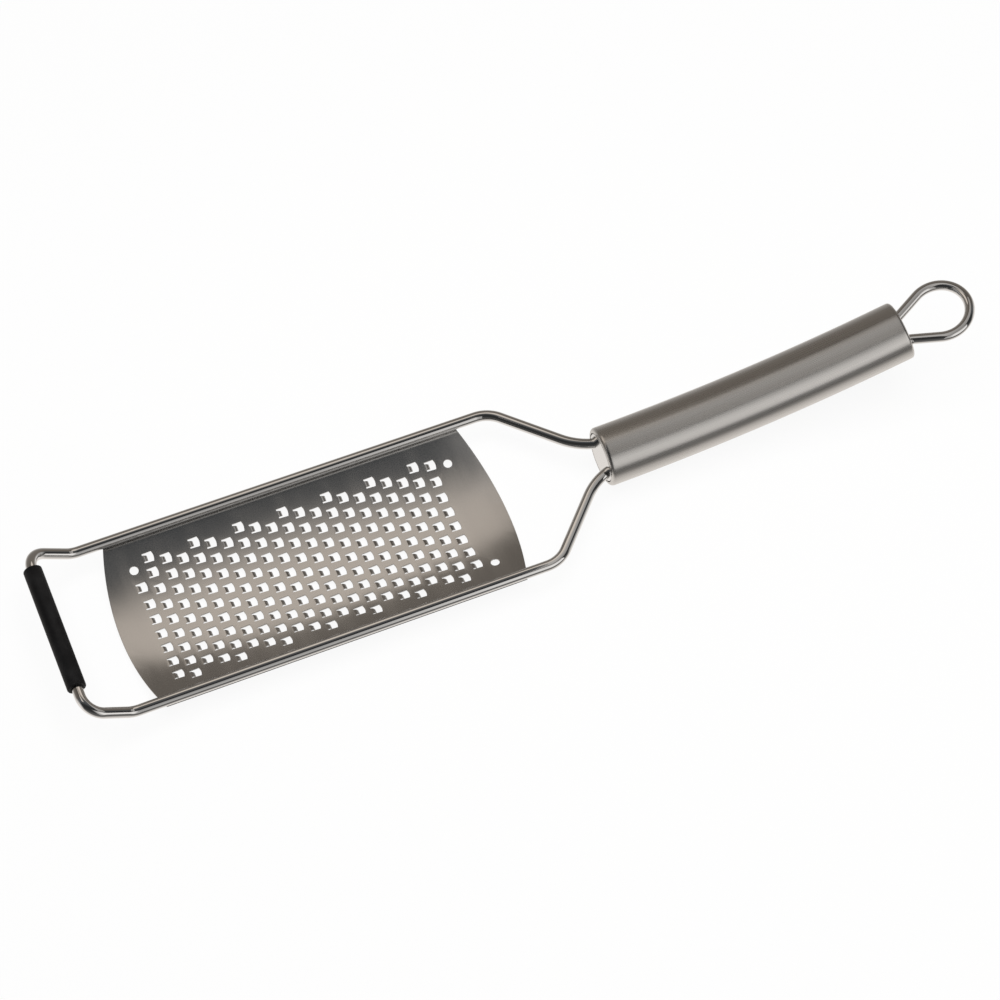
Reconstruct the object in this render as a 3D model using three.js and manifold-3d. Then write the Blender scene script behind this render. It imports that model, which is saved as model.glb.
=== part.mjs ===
// A hand grater: a toothed sheet rolled to a shallow trough, welded under the rails of one bent wire,
// with a tube handle, a hanging loop and a soft sleeve on the front bow.
// Millimetres. +X points to the handle, +Z to the hollow side of the sheet, Y runs across.
import * as THREE from 'three';
import { mergeVertices } from 'three/addons/utils/BufferGeometryUtils.js';
import Module from 'manifold-3d';

const wasm = await Module();
wasm.setup();
const { degToRad } = THREE.MathUtils;

// Sheet
const SHEET_LENGTH = 147.5;
const SHEET_RADIUS = 108;
const SHEET_THICKNESS = 0.6;
const SHEET_EDGE_LAP = 1;
const SHEET_END_RADIUS = 112;
const SHEET_FACETS = 12;
const SHEET_END_FACETS = 16;

// Teeth: every third column repeats, so neighbouring columns are offset by a third of the row pitch
const COLUMN_PITCH = 5.67;
const ROW_PITCH = 6.4;
const COLUMNS_EACH_WAY = 10;
const LANES_EACH_WAY = 12;
const LANES_PER_ROW = 3;
const PATTERN_OFFSET = -2.95;
const PATTERN_OFFSET_ACROSS = 0.17;
const TOOTH_HOLE = 3.9;
const TONGUE_LENGTH = 2;
const TONGUE_WIDTH = 2.5;
const TONGUE_ANGLE = degToRad(32.5);
const TONGUE_EDGE = 0.25;
const TONGUE_ROOT_TOP = 0.15;
const TONGUE_ROOT_THICKNESS = 0.35;

// Plain round holes near the corners of the sheet
const ROUND_HOLE_DIAMETER = 3.3;
const ROUND_HOLE_INSET = 13;
const ROUND_HOLE_SPREAD = 46;
const ROUND_HOLE_CLEARANCE = 0.8;

// Wire frame
const WIRE_DIAMETER = 4;
const RAIL_SPACING = 69;
const FRONT_OVERHANG = 5.9;
const REAR_OVERHANG = 7.5;
const FOOT_ARM_LENGTH = 18.7;
const FOOT_ANGLE = degToRad(33);
const FOOT_BEND_RADIUS = 8;
const FOOT_CORNER_RADIUS = 7;
const THROAT_LENGTH = 27.6;
const THROAT_RISE_ANGLE = degToRad(2.1);
const THROAT_FRONT_RADIUS = 12;
const THROAT_REAR_RADIUS = 25;
const LEG_SPACING = 10.8;
const LEG_SHOWING = 3.05;
const LEG_LENGTH_INSIDE = 24;

// Handle
const HANDLE_DIAMETER = 22.4;
const HANDLE_WALL = 1;
const HANDLE_LENGTH = 122.5;
const HANDLE_FRONT_ANGLE = degToRad(1.9);
const HANDLE_BOW_ANGLE = degToRad(12.05);
const HANDLE_STEPS = 12;
const HANDLE_SIDES = 32;
const CAP_LIP = 1.6;
const CAP_ROUNDING = 1.4;
const CAP_ROUNDING_FACETS = 4;
const CAP_SHANK = 6;

// Hanging loop
const LOOP_WIRE_DIAMETER = 3.8;
const LOOP_RADIUS = 11;
const LOOP_REACH = 15.6;
const LOOP_LEG_SPACING = 10.4;
const LOOP_NECK = 0.6;
const LOOP_NECK_RADIUS = 4;
const LOOP_LENGTH_INSIDE = 19.5;
const LOOP_CORNERS = 4;

// Foot sleeve
const SLEEVE_DIAMETER = 6.8;
const SLEEVE_LENGTH = 51;
const SLEEVE_SHIFT = 1.5;
const SLEEVE_CHAMFER = 0.5;
const SLEEVE_SIDES = 24;

// Clearances between touching pieces
const SEAT_GAP = 0.3;
const WIRE_HOLE_CLEARANCE = 0.3;
const CAP_CLEARANCE = 0.3;
const SLEEVE_CLEARANCE = 0.3;

// Facets of round wires, the shortest step along a wire, and how far a cutter passes its work
const WIRE_SIDES = 12;
const BEND_STEP = degToRad(15);
const SHORTEST_STEP = 0.04;
const CUT_MARGIN = 2;

// Places worked out from the sizes above
const railY = RAIL_SPACING / 2;
const legY = LEG_SPACING / 2;
const railZ = SHEET_RADIUS - Math.sqrt((SHEET_RADIUS - WIRE_DIAMETER / 2 - SEAT_GAP) ** 2 - railY ** 2);
const footBendX = -SHEET_LENGTH / 2 - FRONT_OVERHANG;
const footX = footBendX - FOOT_ARM_LENGTH * Math.cos(FOOT_ANGLE);
const footZ = railZ + FOOT_ARM_LENGTH * Math.sin(FOOT_ANGLE);
const throatX = SHEET_LENGTH / 2 + REAR_OVERHANG;
const legRunToHandle = THROAT_LENGTH + LEG_SHOWING;
const handleFront = pointAlongLegs(legRunToHandle, 0);

// A point on the plane of the converging wires, a given run behind the rear bend of the rails
function pointAlongLegs(run, y) {
  const x = throatX + run * Math.cos(THROAT_RISE_ANGLE);
  const z = railZ + run * Math.sin(THROAT_RISE_ANGLE);
  return new THREE.Vector3(x, y, z);
}

// The bowed axis of the handle, a given distance behind its front end
function handleAxis(distance) {
  const bowRadius = HANDLE_LENGTH / HANDLE_BOW_ANGLE;
  const angle = HANDLE_FRONT_ANGLE + distance / bowRadius;
  const x = handleFront.x + bowRadius * (Math.sin(angle) - Math.sin(HANDLE_FRONT_ANGLE));
  const z = handleFront.z + bowRadius * (Math.cos(HANDLE_FRONT_ANGLE) - Math.cos(angle));
  return { position: new THREE.Vector3(x, 0, z), angle };
}

// A group whose X axis leaves the handle's axis at a given distance
function handleStation(distance) {
  const { position, angle } = handleAxis(distance);
  const station = new THREE.Group();
  station.position.copy(position);
  station.rotation.y = -angle;
  station.updateMatrix();
  return station;
}

// The triangles that have three different corners: a lathe leaves others where it meets its axis
function withoutSlivers(corners) {
  const kept = [];
  for (let i = 0; i < corners.length; i += 3) {
    const triangle = [corners[i], corners[i + 1], corners[i + 2]];
    if (new Set(triangle).size === 3) kept.push(...triangle);
  }
  return kept;
}

// A closed geometry as a solid that can be cut and joined
function solidOf(geometry) {
  const bare = geometry.index ? geometry.toNonIndexed() : geometry.clone();
  bare.deleteAttribute('normal');
  bare.deleteAttribute('uv');
  const merged = mergeVertices(bare);
  const vertProperties = merged.attributes.position.array;
  const triVerts = new Uint32Array(withoutSlivers(merged.index.array));
  return new wasm.Manifold(new wasm.Mesh({ numProp: 3, vertProperties, triVerts }));
}

function geometryOf(solid) {
  const mesh = solid.getMesh();
  const geometry = new THREE.BufferGeometry();
  geometry.setAttribute('position', new THREE.BufferAttribute(mesh.vertProperties, 3));
  geometry.setIndex(new THREE.BufferAttribute(mesh.triVerts, 1));
  geometry.computeVertexNormals();
  return geometry;
}

// A curve that an extrusion follows station by station, so that only the bends take short steps
class StationCurve extends THREE.Curve {
  constructor(stations) {
    super();
    this.stations = stations;
  }

  get steps() {
    return this.stations.length - 1;
  }

  getPoint(t) {
    return this.stations[Math.round(t * this.steps)].clone();
  }

  getPointAt(u) {
    return this.getPoint(u);
  }

  getTangentAt(u) {
    const index = Math.round(u * this.steps);
    const before = this.stations[Math.max(index - 1, 0)];
    const after = this.stations[Math.min(index + 1, this.steps)];
    return after.clone().sub(before).normalize();
  }
}

// The stations of a wire that runs straight from corner to corner and turns each inner corner on its radius
function bentStations(corners) {
  const stations = [corners[0].point];
  for (let i = 1; i < corners.length - 1; i++) {
    const { point, radius } = corners[i];
    const arriving = point.clone().sub(corners[i - 1].point).normalize();
    const leaving = corners[i + 1].point.clone().sub(point).normalize();
    const turn = arriving.angleTo(leaving);
    const setback = radius * Math.tan(turn / 2);
    const start = point.clone().addScaledVector(arriving, -setback);
    const inward = leaving.clone().addScaledVector(arriving, -leaving.dot(arriving)).normalize();
    const steps = Math.ceil(turn / BEND_STEP);
    for (let k = 0; k <= steps; k++) {
      const swept = (turn * k) / steps;
      const station = start.clone();
      station.addScaledVector(arriving, radius * Math.sin(swept));
      station.addScaledVector(inward, radius * (1 - Math.cos(swept)));
      stations.push(station);
    }
  }
  stations.push(corners.at(-1).point);
  return stations.filter((station, i) => i === 0 || station.distanceTo(stations[i - 1]) > SHORTEST_STEP);
}

function circle(radius, sides) {
  const points = [];
  for (let i = 0; i < sides; i++) {
    const angle = (2 * Math.PI * i) / sides;
    points.push(new THREE.Vector2(radius * Math.cos(angle), radius * Math.sin(angle)));
  }
  return points;
}

// A round section swept along a path, hollow where an inner radius is given
function roundBar(path, radius, sides, innerRadius = 0) {
  const section = new THREE.Shape(circle(radius, sides));
  if (innerRadius > 0) section.holes.push(new THREE.Path(circle(innerRadius, sides)));
  return new THREE.ExtrudeGeometry(section, { steps: path.steps, extrudePath: path });
}

// One half of the frame's corners, from the handle to the front bow, on the side given by sign
function frameCorners(sign) {
  const y = sign * railY;
  return [
    { point: pointAlongLegs(legRunToHandle + LEG_LENGTH_INSIDE, sign * legY) },
    { point: pointAlongLegs(THROAT_LENGTH, sign * legY), radius: THROAT_REAR_RADIUS },
    { point: new THREE.Vector3(throatX, y, railZ), radius: THROAT_FRONT_RADIUS },
    { point: new THREE.Vector3(footBendX, y, railZ), radius: FOOT_BEND_RADIUS },
    { point: new THREE.Vector3(footX, y, footZ), radius: FOOT_CORNER_RADIUS },
  ];
}

// The frame's wire, thicker by a clearance where it is to cut its own way through another piece
function wireFrameGeometry(clearance = 0) {
  const corners = [...frameCorners(1), ...frameCorners(-1).reverse()];
  const path = new StationCurve(bentStations(corners));
  return roundBar(path, WIRE_DIAMETER / 2 + clearance, WIRE_SIDES);
}

// A matrix that carries a flat pattern's point to the rolled sheet, with local Z towards the hollow side
function onSheet(x, across) {
  const turn = across / SHEET_RADIUS;
  const matrix = new THREE.Matrix4().makeRotationX(turn);
  matrix.setPosition(x, SHEET_RADIUS * Math.sin(turn), SHEET_RADIUS * (1 - Math.cos(turn)));
  return matrix;
}

// The rolled sheet before it is punched: a curved strip trimmed to rounded ends
function blankSheet() {
  const edgeTurn = Math.asin((railY + SHEET_EDGE_LAP) / SHEET_RADIUS);
  const down = -Math.PI / 2;
  const strip = new THREE.Shape();
  strip.absarc(0, SHEET_RADIUS, SHEET_RADIUS + SHEET_THICKNESS, down - edgeTurn, down + edgeTurn, false);
  strip.absarc(0, SHEET_RADIUS, SHEET_RADIUS, down + edgeTurn, down - edgeTurn, true);
  const rolled = new THREE.ExtrudeGeometry(strip, {
    depth: SHEET_LENGTH,
    bevelEnabled: false,
    curveSegments: SHEET_FACETS / 2,
  });
  rolled.translate(0, 0, -SHEET_LENGTH / 2);
  const alongX = new THREE.Matrix4().makeBasis(
    new THREE.Vector3(0, 1, 0),
    new THREE.Vector3(0, 0, 1),
    new THREE.Vector3(1, 0, 0),
  );
  rolled.applyMatrix4(alongX);

  const halfWidth = railY + SHEET_EDGE_LAP + CUT_MARGIN;
  const endTurn = Math.asin(halfWidth / SHEET_END_RADIUS);
  const endCentre = SHEET_LENGTH / 2 - SHEET_END_RADIUS;
  const plan = new THREE.Shape();
  plan.absarc(endCentre, 0, SHEET_END_RADIUS, -endTurn, endTurn, false);
  plan.absarc(-endCentre, 0, SHEET_END_RADIUS, Math.PI - endTurn, Math.PI + endTurn, false);
  const trimmer = new THREE.ExtrudeGeometry(plan, {
    depth: SHEET_RADIUS,
    bevelEnabled: false,
    curveSegments: SHEET_END_FACETS / 2,
  });
  trimmer.translate(0, 0, -SHEET_RADIUS / 2);
  return solidOf(rolled).intersect(solidOf(trimmer));
}

// The three round holes as places on the flat pattern
function roundHolePlaces() {
  const x = SHEET_LENGTH / 2 - ROUND_HOLE_INSET;
  const across = ROUND_HOLE_SPREAD / 2;
  return [
    { x, across },
    { x, across: -across },
    { x: -x, across },
  ];
}

// The teeth as places on the flat pattern, leaving out any that a round hole takes
function toothPlaces() {
  const places = [];
  const taken = (TOOTH_HOLE + ROUND_HOLE_DIAMETER) / 2 + ROUND_HOLE_CLEARANCE;
  for (let column = -COLUMNS_EACH_WAY; column <= COLUMNS_EACH_WAY; column++) {
    for (let lane = -LANES_EACH_WAY; lane <= LANES_EACH_WAY; lane++) {
      if ((lane - column) % LANES_PER_ROW !== 0) continue;
      const x = PATTERN_OFFSET + column * COLUMN_PITCH;
      const across = PATTERN_OFFSET_ACROSS - (lane * ROW_PITCH) / LANES_PER_ROW;
      const clash = roundHolePlaces().some((hole) => Math.hypot(hole.x - x, hole.across - across) < taken);
      if (!clash) places.push({ x, across });
    }
  }
  return places;
}

// A tongue left at the front side of a tooth hole, bent through the sheet to its bulging side
function tongueGeometry() {
  const root = -TOOTH_HOLE / 2 - SHEET_THICKNESS / 2;
  const reach = TONGUE_LENGTH * Math.cos(TONGUE_ANGLE) - TOOTH_HOLE / 2;
  const drop = TONGUE_LENGTH * Math.sin(TONGUE_ANGLE);
  const profile = new THREE.Shape();
  profile.moveTo(root, -TONGUE_ROOT_TOP);
  profile.lineTo(root, -TONGUE_ROOT_TOP - TONGUE_ROOT_THICKNESS);
  profile.lineTo(reach - TONGUE_EDGE * Math.sin(TONGUE_ANGLE), -drop - TONGUE_EDGE * Math.cos(TONGUE_ANGLE));
  profile.lineTo(reach, -drop);
  const tongue = new THREE.ExtrudeGeometry(profile, { depth: TONGUE_WIDTH, bevelEnabled: false });
  tongue.translate(0, 0, -TONGUE_WIDTH / 2);
  tongue.rotateX(Math.PI / 2);
  return tongue;
}

function gratingBladeGeometry() {
  const cutDepth = SHEET_THICKNESS + 2 * CUT_MARGIN;
  const punch = new THREE.BoxGeometry(TOOTH_HOLE, TOOTH_HOLE, cutDepth);
  const drill = new THREE.CylinderGeometry(
    ROUND_HOLE_DIAMETER / 2,
    ROUND_HOLE_DIAMETER / 2,
    cutDepth,
    WIRE_SIDES,
  );
  drill.rotateX(Math.PI / 2);
  const tongue = tongueGeometry();
  const cuts = [];
  const tongues = [];
  for (const { x, across } of toothPlaces()) {
    cuts.push(solidOf(punch.clone().applyMatrix4(onSheet(x, across))));
    tongues.push(solidOf(tongue.clone().applyMatrix4(onSheet(x, across))));
  }
  for (const { x, across } of roundHolePlaces()) {
    cuts.push(solidOf(drill.clone().applyMatrix4(onSheet(x, across))));
  }
  const punched = blankSheet().subtract(wasm.Manifold.union(cuts));
  return geometryOf(punched.add(wasm.Manifold.union(tongues)));
}

// The tube between the lips of its two end caps
function handleTubeGeometry() {
  const start = CAP_LIP + SEAT_GAP;
  const length = HANDLE_LENGTH - 2 * start;
  const stations = [];
  for (let i = 0; i <= HANDLE_STEPS; i++) {
    stations.push(handleAxis(start + (length * i) / HANDLE_STEPS).position);
  }
  const path = new StationCurve(stations);
  return roundBar(path, HANDLE_DIAMETER / 2, HANDLE_SIDES, HANDLE_DIAMETER / 2 - HANDLE_WALL);
}

// A cap with its outer face on X = 0 and its body behind: a rounded lip as wide as the tube, a shank inside
// the tube, and the way that a wire cuts through both
function capGeometry(wire) {
  const lipRadius = HANDLE_DIAMETER / 2;
  const shankRadius = lipRadius - HANDLE_WALL - CAP_CLEARANCE;
  const rounding = Math.min(CAP_ROUNDING, CAP_LIP);
  const profile = new THREE.Path();
  profile.moveTo(0, 0);
  profile.lineTo(lipRadius - rounding, 0);
  profile.absarc(lipRadius - rounding, rounding, rounding, -Math.PI / 2, 0, false);
  profile.lineTo(lipRadius, CAP_LIP);
  profile.lineTo(shankRadius, CAP_LIP);
  profile.lineTo(shankRadius, CAP_LIP + CAP_SHANK);
  profile.lineTo(0, CAP_LIP + CAP_SHANK);
  const cap = new THREE.LatheGeometry(profile.getPoints(CAP_ROUNDING_FACETS / 2), HANDLE_SIDES);
  cap.rotateZ(-Math.PI / 2);
  return geometryOf(solidOf(cap).subtract(solidOf(wire)));
}

// The loop in the frame of the handle's rear end: parallel legs, a short neck, then a round eye
function hangingLoopGeometry(clearance = 0) {
  const half = LOOP_LEG_SPACING / 2;
  const toCentre = LOOP_REACH - LOOP_NECK;
  const spread = Math.asin(LOOP_RADIUS / Math.hypot(toCentre, half)) - Math.atan2(half, toCentre);
  const turn = (Math.PI + 2 * spread) / LOOP_CORNERS;
  const cornerDistance = LOOP_RADIUS / Math.cos(turn / 2);
  const corners = [
    { point: new THREE.Vector3(-LOOP_LENGTH_INSIDE, half, 0) },
    { point: new THREE.Vector3(LOOP_NECK, half, 0), radius: LOOP_NECK_RADIUS },
  ];
  for (let k = 0; k < LOOP_CORNERS; k++) {
    const angle = Math.PI / 2 + spread - (k + 0.5) * turn;
    const x = LOOP_REACH + cornerDistance * Math.cos(angle);
    const point = new THREE.Vector3(x, cornerDistance * Math.sin(angle), 0);
    corners.push({ point, radius: LOOP_RADIUS });
  }
  corners.push({ point: new THREE.Vector3(LOOP_NECK, -half, 0), radius: LOOP_NECK_RADIUS });
  corners.push({ point: new THREE.Vector3(-LOOP_LENGTH_INSIDE, -half, 0) });
  const path = new StationCurve(bentStations(corners));
  return roundBar(path, LOOP_WIRE_DIAMETER / 2 + clearance, WIRE_SIDES);
}

// A sleeve around Y with chamfered outer ends
function footSleeveGeometry() {
  const inner = WIRE_DIAMETER / 2 + SLEEVE_CLEARANCE;
  const outer = SLEEVE_DIAMETER / 2;
  const end = SLEEVE_LENGTH / 2;
  const profile = [
    [inner, -end],
    [outer - SLEEVE_CHAMFER, -end],
    [outer, -end + SLEEVE_CHAMFER],
    [outer, end - SLEEVE_CHAMFER],
    [outer - SLEEVE_CHAMFER, end],
    [inner, end],
    [inner, -end],
  ].map(([radius, y]) => new THREE.Vector2(radius, y));
  return new THREE.LatheGeometry(profile, SLEEVE_SIDES);
}

// Finishes
const polishedSteel = { color: 0x9a9691, roughness: 0.22, metalness: 1 };
const satinSheet = { color: 0x8d8985, roughness: 0.34, metalness: 1 };
const brushedSteel = { color: 0xa29d97, roughness: 0.4, metalness: 1 };
const brightSteel = { color: 0xc9c7c4, roughness: 0.3, metalness: 1 };
const blackSilicone = { color: 0x17171a, roughness: 0.65, metalness: 0 };

function piece(name, geometry, finish) {
  const mesh = new THREE.Mesh(geometry, new THREE.MeshStandardMaterial(finish));
  mesh.name = name;
  return mesh;
}

const frontEnd = handleStation(0);
const frontWire = wireFrameGeometry(WIRE_HOLE_CLEARANCE).applyMatrix4(frontEnd.matrix.clone().invert());
frontEnd.add(piece('handle_front_cap', capGeometry(frontWire), brightSteel));

const rearEnd = handleStation(HANDLE_LENGTH);
const rearWire = hangingLoopGeometry(WIRE_HOLE_CLEARANCE).rotateZ(Math.PI);
const rearCap = piece('handle_rear_cap', capGeometry(rearWire), brightSteel);
rearCap.rotation.z = Math.PI;
rearEnd.add(rearCap);
rearEnd.add(piece('hanging_loop', hangingLoopGeometry(), polishedSteel));

const footSleeve = piece('foot_sleeve', footSleeveGeometry(), blackSilicone);
footSleeve.position.set(footX, SLEEVE_SHIFT, footZ);

const grater = new THREE.Group();
grater.add(piece('wire_frame', wireFrameGeometry(), polishedSteel));
grater.add(piece('grating_blade', gratingBladeGeometry(), satinSheet));
grater.add(piece('handle_tube', handleTubeGeometry(), brushedSteel));
grater.add(frontEnd, rearEnd, footSleeve);

// The lowest point stands on Z = 0 and the length is centred over the origin
const bounds = new THREE.Box3().setFromObject(grater, true);
grater.position.set(-(bounds.min.x + bounds.max.x) / 2, 0, -bounds.min.z);

const part = new THREE.Group();
part.add(grater);

export default part;
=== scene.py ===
# %% [markdown]
# # A hand grater in polished and satin steel
# One length of round wire makes both rails of this grater, the turned-up bow in front and the two legs that
# run into a tube handle. A punched sheet, rolled to a shallow trough, is welded under the rails.
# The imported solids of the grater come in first. They say where everything is, in metres, so each piece below
# is modelled in its final place and nothing is fitted afterwards.

# %% Load the frame
from math import asin, atan2, ceil, copysign, cos, degrees, hypot, pi, radians, sin, sqrt, tan

import bmesh
import bpy
from mathutils import Matrix, Vector


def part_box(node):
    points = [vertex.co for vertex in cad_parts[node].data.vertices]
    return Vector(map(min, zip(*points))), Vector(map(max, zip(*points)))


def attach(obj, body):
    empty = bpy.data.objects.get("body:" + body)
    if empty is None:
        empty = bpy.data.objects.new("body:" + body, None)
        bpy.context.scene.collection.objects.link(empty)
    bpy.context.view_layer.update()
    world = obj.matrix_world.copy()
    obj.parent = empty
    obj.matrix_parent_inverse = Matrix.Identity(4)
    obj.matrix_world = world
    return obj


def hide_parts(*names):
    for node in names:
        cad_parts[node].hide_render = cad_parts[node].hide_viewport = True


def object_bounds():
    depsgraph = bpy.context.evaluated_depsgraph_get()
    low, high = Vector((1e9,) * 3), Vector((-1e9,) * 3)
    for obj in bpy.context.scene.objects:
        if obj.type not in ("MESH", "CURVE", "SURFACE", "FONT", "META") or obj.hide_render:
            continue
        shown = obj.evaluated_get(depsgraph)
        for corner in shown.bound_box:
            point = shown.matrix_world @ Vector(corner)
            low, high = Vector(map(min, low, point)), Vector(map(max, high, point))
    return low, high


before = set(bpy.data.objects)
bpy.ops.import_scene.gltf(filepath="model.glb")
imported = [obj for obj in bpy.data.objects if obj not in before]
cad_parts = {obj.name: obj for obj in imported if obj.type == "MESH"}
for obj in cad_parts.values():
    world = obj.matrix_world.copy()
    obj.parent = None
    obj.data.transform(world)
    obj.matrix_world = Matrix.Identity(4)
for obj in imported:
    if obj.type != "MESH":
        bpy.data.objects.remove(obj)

MM = 0.001
cad_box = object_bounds()
print("solids:", sorted(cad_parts))
print("CAD box in mm:", [[round(side / MM, 2) for side in corner] for corner in cad_box])

# %% [markdown]
# ## The places that everything hangs on
# A wire's solid ends one radius outside its middle line, so the boxes of the frame and the sheet give the
# height of the rails, the place of the front bow and the middle of the sheet. The sheet is part of a
# cylinder that lies along X. Its hollow side is up, and its lowest line is found from the height of its
# edges.

# %% Read the places from the solids
WIRE_DIAMETER = 4 * MM
SHEET_RADIUS = 108 * MM
SHEET_EDGE_LAP = 1 * MM

wire_radius = WIRE_DIAMETER / 2
wire_low, wire_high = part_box("wire_frame")
sheet_low, sheet_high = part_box("grating_blade")

rail_y = wire_high.y - wire_radius
rail_z = wire_low.z + wire_radius
bow_x = wire_low.x + wire_radius
bow_z = wire_high.z - wire_radius
sheet_middle_x = (sheet_low.x + sheet_high.x) / 2
sheet_length = sheet_high.x - sheet_low.x
sheet_edge_y = rail_y + SHEET_EDGE_LAP
trough_z = sheet_high.z - (SHEET_RADIUS - sqrt(SHEET_RADIUS**2 - sheet_edge_y**2))
print(f"rails at y {rail_y / MM:.2f}, z {rail_z / MM:.2f} mm")
print(f"lowest line of the trough at {trough_z / MM:.2f} mm")

# %% [markdown]
# ## The camera
# The photograph looks down on the hollow side from the front left, at about 58 degrees above the horizon.
# A long lens keeps the rails almost parallel. Turning the camera about Z, then tilting it, then rolling it
# a little about its own axis is the order in which a tripod head works.

# %% Set up the camera
CAMERA_FROM_SHEET = Vector((-142.3, -495.9, 862.6)) * MM
CAMERA_TURN = radians(-23.38)
CAMERA_ELEVATION = radians(57.82)
CAMERA_ROLL = radians(1.01)
CAMERA_LENS = 100.1
SENSOR_WIDTH = 36

camera_place = Vector((sheet_middle_x, 0, trough_z)) + CAMERA_FROM_SHEET
camera_data = bpy.data.cameras.new("photo_camera")
camera_data.sensor_width = SENSOR_WIDTH
camera_data.lens = CAMERA_LENS
camera = bpy.data.objects.new("photo_camera", camera_data)
tilt = Matrix.Rotation(pi / 2 - CAMERA_ELEVATION, 4, "X")
head = Matrix.Rotation(CAMERA_TURN, 4, "Z") @ tilt @ Matrix.Rotation(CAMERA_ROLL, 4, "Z")
camera.matrix_world = Matrix.Translation(camera_place) @ head
bpy.context.scene.collection.objects.link(camera)
bpy.context.scene.camera = camera
print(f"camera {CAMERA_FROM_SHEET.length:.2f} m from the middle of the sheet, lens {CAMERA_LENS} mm")

# %% [markdown]
# ## Shader maths in plain expressions
# Each finish below is a small sum: a base value plus streaks plus smudges. Wiring such sums by hand takes a
# Math node for every plus sign. The class here wraps the output of a node, so that `0.2 + 0.1 * streaks`
# adds those Math nodes by itself. Every other node comes from the one method `of`.

# %% A socket that can be added and multiplied
def set_stops(ramp, stops):
    """Gives a colour ramp its stops, each a place and a colour. The first one is at place 0."""
    ramp.interpolation = "EASE"
    ramp.elements.remove(ramp.elements[1])
    for count, (place, colour) in enumerate(stops):
        stop = ramp.elements.new(place) if count else ramp.elements[0]
        stop.color = colour


class Socket:
    """One output of a shader node. Arithmetic on it adds Math nodes to the same tree."""

    def __init__(self, tree, output):
        self.tree = tree
        self.output = output

    @classmethod
    def of(cls, tree, kind, settings, sockets, output=0):
        """Adds a node, sets it up, fills or links its inputs, and returns one of its outputs."""
        node = tree.nodes.new(kind)
        for name, value in settings.items():
            if name == "stops":
                set_stops(node.color_ramp, value)
            else:
                setattr(node, name, value)
        for name, value in sockets.items():
            if isinstance(value, Socket):
                tree.links.new(value.output, node.inputs[name])
            else:
                node.inputs[name].default_value = value
        return cls(tree, node.outputs[output]) if node.outputs else node

    def sum_of(self, operation, first, second):
        return Socket.of(self.tree, "ShaderNodeMath", {"operation": operation}, {0: first, 1: second})

    def __add__(self, other):
        return self.sum_of("ADD", self, other)

    def __radd__(self, other):
        return self.sum_of("ADD", other, self)

    def __sub__(self, other):
        return self.sum_of("SUBTRACT", self, other)

    def __rsub__(self, other):
        return self.sum_of("SUBTRACT", other, self)

    def __mul__(self, other):
        return self.sum_of("MULTIPLY", self, other)

    def __rmul__(self, other):
        return self.sum_of("MULTIPLY", other, self)


print("shader sums are written as expressions on Socket")

# %% [markdown]
# ## Streaks, smudges and the steel they sit on
# Steel hides its marks well. Up close it has fine lines from rolling, drawing or brushing, and from further
# away only slow changes of gloss where it was wiped. Both are noise: the lines are noise that is stretched a
# hundred times in one direction, the wiping marks are noise as large as a fingertip. The size of a mark is
# given in millimetres along each axis, and a Mapping node turns it into the scale of the noise.

# %% Helpers for the finishes
METAL = 1.0
NOT_METAL = 0.0


def stretched_noise(tree, place, size, detail=2.0):
    """Noise from 0 to 1 whose marks have the given size, in metres, along each axis of the place."""
    scale = [1 / side for side in size]
    spread = Socket.of(tree, "ShaderNodeMapping", {}, {"Vector": place, "Scale": scale})
    sockets = {"Vector": spread, "Scale": 1.0, "Detail": detail, "Roughness": 0.5}
    return Socket.of(tree, "ShaderNodeTexNoise", {}, sockets, "Fac")


def contrast(tree, value, low, high):
    """Spreads the part of a value between low and high over 0 to 1."""
    sockets = {"Value": value, "From Min": low, "From Max": high}
    return Socket.of(tree, "ShaderNodeMapRange", {"interpolation_type": "SMOOTHSTEP"}, sockets)


def blend_colours(tree, mask, first, second):
    """The first colour where the mask is 0 and the second where it is 1."""
    return Socket.of(tree, "ShaderNodeMix", {"data_type": "RGBA"}, {0: mask, 6: first, 7: second}, 2)


def bump(tree, height, depth, strength):
    """A normal that follows a height of that depth in metres."""
    sockets = {"Height": height, "Distance": depth, "Strength": strength}
    return Socket.of(tree, "ShaderNodeBump", {}, sockets, "Normal")


def new_finish(name):
    """An empty material and its node tree."""
    material = bpy.data.materials.new(name)
    material.use_nodes = True
    material.node_tree.nodes.clear()
    return material, material.node_tree


def object_place(tree):
    """The place of a point on its piece, in metres."""
    return Socket.of(tree, "ShaderNodeTexCoord", {}, {}, "Object")


def close_finish(tree, colour, metallic, roughness, normal, gloss=0.5):
    """Feeds a Principled shader and ends the material."""
    sockets = {"Base Color": colour, "Metallic": metallic, "Roughness": roughness, "Normal": normal}
    sockets["Specular IOR Level"] = gloss
    shader = Socket.of(tree, "ShaderNodeBsdfPrincipled", {}, sockets, "BSDF")
    Socket.of(tree, "ShaderNodeOutputMaterial", {}, {"Surface": shader})


print("helpers for the finishes are ready")

# %% [markdown]
# ## Satin sheet
# The sheet is smooth rolled steel. It mirrors the softbox behind it as one broad band with a soft edge, so it
# is not very rough. Its rolling lines run across the grater, and so do faint marks from wiping.

# %% The satin sheet
SHEET_DARK = (0.53, 0.525, 0.518, 1)
SHEET_LIGHT = (0.62, 0.614, 0.606, 1)
ROLLING_LINE = (0.25 * MM, 30 * MM, 30 * MM)
WIPING_MARK = (9 * MM, 45 * MM, 45 * MM)
SHEET_CLOUD = (24 * MM, 24 * MM, 24 * MM)
MARK_FAINT = 0.35
MARK_FULL = 0.75

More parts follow.
